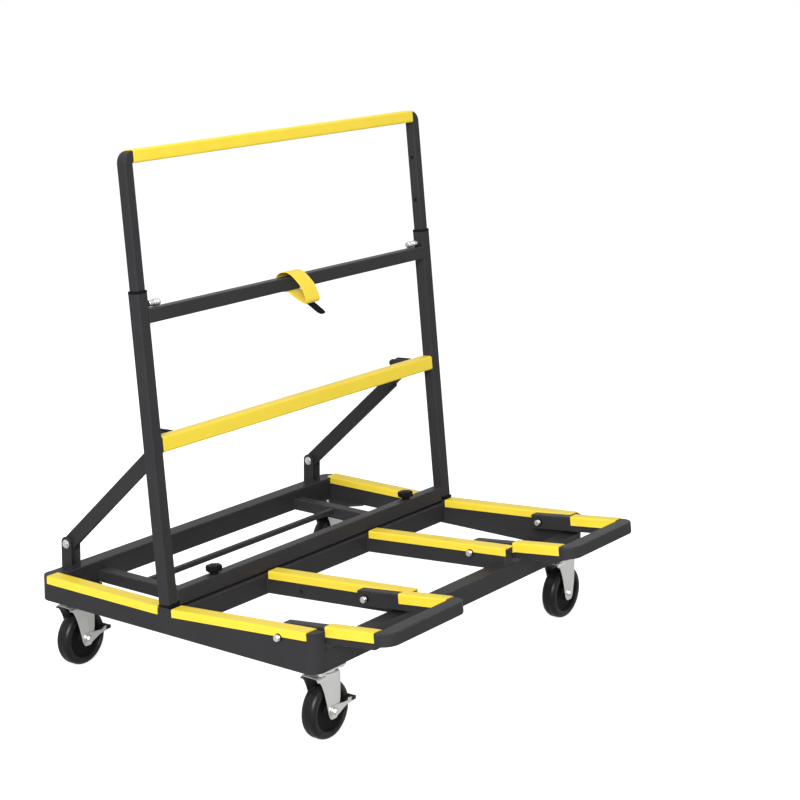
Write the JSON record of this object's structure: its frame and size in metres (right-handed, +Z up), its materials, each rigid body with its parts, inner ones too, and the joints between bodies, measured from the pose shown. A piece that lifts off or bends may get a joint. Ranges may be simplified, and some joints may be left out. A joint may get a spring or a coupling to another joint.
{
  "type": "drywall cart",
  "caption": "Rolling sheet-material cart with a sloped loading deck, folding braced upright, telescoping mast, sliding front lips and braked swivel casters.",
  "frame": {"origin": "floor level under the middle of the outline box, lips drawn out", "axes": "+Z up, -Y toward the loading side with the lips, +Y toward the braces, X across the cart"},
  "size_m": [1.083, 0.9436, 1.1917],
  "materials": {
    "charcoal_steel": "satin powder coat",
    "yellow_cap": "satin moulded",
    "zinc": "zinc plated",
    "wheel": "matte",
    "black_plastic": "matte",
    "webbing": "woven"
  },
  "bodies": {
    "base": {"left_side_rail": "charcoal_steel", "right_side_rail": "charcoal_steel", "rear_rail": "charcoal_steel", "front_rail": "charcoal_steel", "seat_rail": "charcoal_steel", "left_inner_rail": "charcoal_steel", "right_inner_rail": "charcoal_steel", "rear_stringers": "charcoal_steel", "tie_bar": "charcoal_steel", "corner_plates": "charcoal_steel", "side_rail_caps": "yellow_cap", "inner_rail_caps": "yellow_cap", "brace_feet": "charcoal_steel", "brace_foot_bolts": "zinc", "caster_plates": "zinc", "caster_bolts": "zinc"},
    "glides": {"post_glides": "black_plastic"},
    "upright": {"left_post": "charcoal_steel", "right_post": "charcoal_steel", "bottom_rail": "charcoal_steel", "lower_crossbar": "charcoal_steel", "mid_crossbar": "charcoal_steel", "lower_pad": "yellow_cap", "brace_lugs": "charcoal_steel", "brace_pins": "zinc", "strap_loop": "webbing"},
    "mast": {"left_mast_tube": "charcoal_steel", "right_mast_tube": "charcoal_steel", "mast_top_bar": "charcoal_steel", "mast_pad": "yellow_cap"},
    "brace_left": {"left_brace": "charcoal_steel"},
    "brace_right": {"right_brace": "charcoal_steel"},
    "lip_left": {"left_lip_arms": "charcoal_steel", "left_lip_bar": "charcoal_steel", "left_lip_caps": "yellow_cap"},
    "lip_right": {"right_lip_arms": "charcoal_steel", "right_lip_bar": "charcoal_steel", "right_lip_caps": "yellow_cap"},
    "knob_left": {"left_knob": "black_plastic"},
    "knob_right": {"right_knob": "black_plastic"},
    "mast_pin_left": {"left_mast_pin": "zinc"},
    "mast_pin_right": {"right_mast_pin": "zinc"},
    "rail_pin_left": {"left_rail_pin": "zinc"},
    "rail_pin_inner": {"inner_rail_pin": "zinc"},
    "lip_pin_left": {"left_lip_pin": "zinc"},
    "lip_pin_right": {"right_lip_pin": "zinc"},
    "front_left_fork": {"fl_fork": "zinc", "fl_axle": "zinc"},
    "front_left_wheel": {"fl_wheel": "wheel"},
    "front_right_fork": {"fr_fork": "zinc", "fr_axle": "zinc"},
    "front_right_wheel": {"fr_wheel": "wheel"},
    "rear_left_fork": {"rl_fork": "zinc", "rl_axle": "zinc"},
    "rear_left_wheel": {"rl_wheel": "wheel"},
    "rear_right_fork": {"rr_fork": "zinc", "rr_axle": "zinc"},
    "rear_right_wheel": {"rr_wheel": "wheel"},
    "front_left_brake": {"fl_brake": "zinc"},
    "rear_left_brake": {"rl_brake": "zinc"}
  },
  "joints": [
    {"name": "upright_fold", "type": "hinge", "parent": "glides", "child": "upright", "pos_m": [0, 0.08059, 0.22761], "axis": [1, 0, 0], "range_deg": [0, 91.7]},
    {"name": "foot_slide", "type": "slide", "parent": "base", "child": "glides", "axis": [0, 1, 0], "range_m": [0, 0.306]},
    {"name": "left_brace_fold", "type": "hinge", "parent": "base", "child": "brace_left", "pos_m": [0, 0.45485, 0.274], "axis": [1, 0, 0], "range_deg": [0, 38.72]},
    {"name": "right_brace_fold", "type": "hinge", "parent": "base", "child": "brace_right", "pos_m": [0, 0.45485, 0.274], "axis": [1, 0, 0], "range_deg": [0, 38.72]},
    {"name": "mast_slide", "type": "slide", "parent": "upright", "child": "mast", "axis": [0, -0.1097, -0.994], "range_m": [0, 0.21]},
    {"name": "left_lip_slide", "type": "slide", "parent": "base", "child": "lip_left", "axis": [0, 0.9934, -0.1149], "range_m": [0, 0.15]},
    {"name": "right_lip_slide", "type": "slide", "parent": "base", "child": "lip_right", "axis": [0, 0.9934, -0.1149], "range_m": [0, 0.15]},
    {"name": "left_rail_pin_pull", "type": "slide", "parent": "base", "child": "rail_pin_left", "axis": [-1, 0, 0], "range_m": [0, 0.01], "stiffness_N_per_m": 600, "springref_m": -0.002},
    {"name": "inner_rail_pin_pull", "type": "slide", "parent": "base", "child": "rail_pin_inner", "axis": [-1, 0, 0], "range_m": [0, 0.01], "stiffness_N_per_m": 600, "springref_m": -0.002},
    {"name": "left_lip_pin_pull", "type": "slide", "parent": "lip_left", "child": "lip_pin_left", "axis": [-1, 0, 0], "range_m": [0, 0.01], "stiffness_N_per_m": 600, "springref_m": -0.002},
    {"name": "right_lip_pin_pull", "type": "slide", "parent": "lip_right", "child": "lip_pin_right", "axis": [-1, 0, 0], "range_m": [0, 0.01], "stiffness_N_per_m": 600, "springref_m": -0.002},
    {"name": "left_mast_pin_pull", "type": "slide", "parent": "upright", "child": "mast_pin_left", "axis": [1, 0, 0], "range_m": [0, 0.008], "stiffness_N_per_m": 600, "springref_m": -0.002},
    {"name": "right_mast_pin_pull", "type": "slide", "parent": "upright", "child": "mast_pin_right", "axis": [-1, 0, 0], "range_m": [0, 0.008], "stiffness_N_per_m": 600, "springref_m": -0.002},
    {"name": "left_knob_turn", "type": "hinge", "parent": "upright", "child": "knob_left", "pos_m": [-0.362, 0.09924, 0.25976], "axis": [0, 0.1097, 0.994], "continuous": true},
    {"name": "right_knob_turn", "type": "hinge", "parent": "upright", "child": "knob_right", "pos_m": [0.362, 0.09924, 0.25976], "axis": [0, 0.1097, 0.994], "continuous": true},
    {"name": "front_left_swivel", "type": "hinge", "parent": "base", "child": "front_left_fork", "pos_m": [-0.467, -0.28115, 0.147], "axis": [0, 0, 1], "continuous": true},
    {"name": "front_left_roll", "type": "hinge", "parent": "front_left_fork", "child": "front_left_wheel", "pos_m": [-0.458, -0.28115, 0.0635], "axis": [0, 1, 0], "continuous": true},
    {"name": "front_left_brake_press", "type": "hinge", "parent": "front_left_fork", "child": "front_left_brake", "pos_m": [-0.458, -0.28115, 0.0635], "axis": [0, 1, 0], "range_deg": [0, 15]},
    {"name": "front_right_swivel", "type": "hinge", "parent": "base", "child": "front_right_fork", "pos_m": [0.467, -0.28115, 0.147], "axis": [0, 0, 1], "continuous": true},
    {"name": "front_right_roll", "type": "hinge", "parent": "front_right_fork", "child": "front_right_wheel", "pos_m": [0.476, -0.28115, 0.0635], "axis": [0, 1, 0], "continuous": true},
    {"name": "rear_left_swivel", "type": "hinge", "parent": "base", "child": "rear_left_fork", "pos_m": [-0.467, 0.41685, 0.147], "axis": [0, 0, 1], "continuous": true},
    {"name": "rear_left_roll", "type": "hinge", "parent": "rear_left_fork", "child": "rear_left_wheel", "pos_m": [-0.458, 0.41685, 0.0635], "axis": [0, 1, 0], "continuous": true},
    {"name": "rear_left_brake_press", "type": "hinge", "parent": "rear_left_fork", "child": "rear_left_brake", "pos_m": [-0.458, 0.41685, 0.0635], "axis": [0, 1, 0], "range_deg": [0, 15]},
    {"name": "rear_right_swivel", "type": "hinge", "parent": "base", "child": "rear_right_fork", "pos_m": [0.467, 0.41685, 0.147], "axis": [0, 0, 1], "continuous": true},
    {"name": "rear_right_roll", "type": "hinge", "parent": "rear_right_fork", "child": "rear_right_wheel", "pos_m": [0.476, 0.41685, 0.0635], "axis": [0, 1, 0], "continuous": true}
  ],
  "couplings": [
    {"joint": "foot_slide", "follows": "upright_fold", "m_per_rad": 0.19087},
    {"joint": "left_brace_fold", "follows": "upright_fold", "ratio": 0.42168},
    {"joint": "right_brace_fold", "follows": "upright_fold", "ratio": 0.42168}
  ]
}
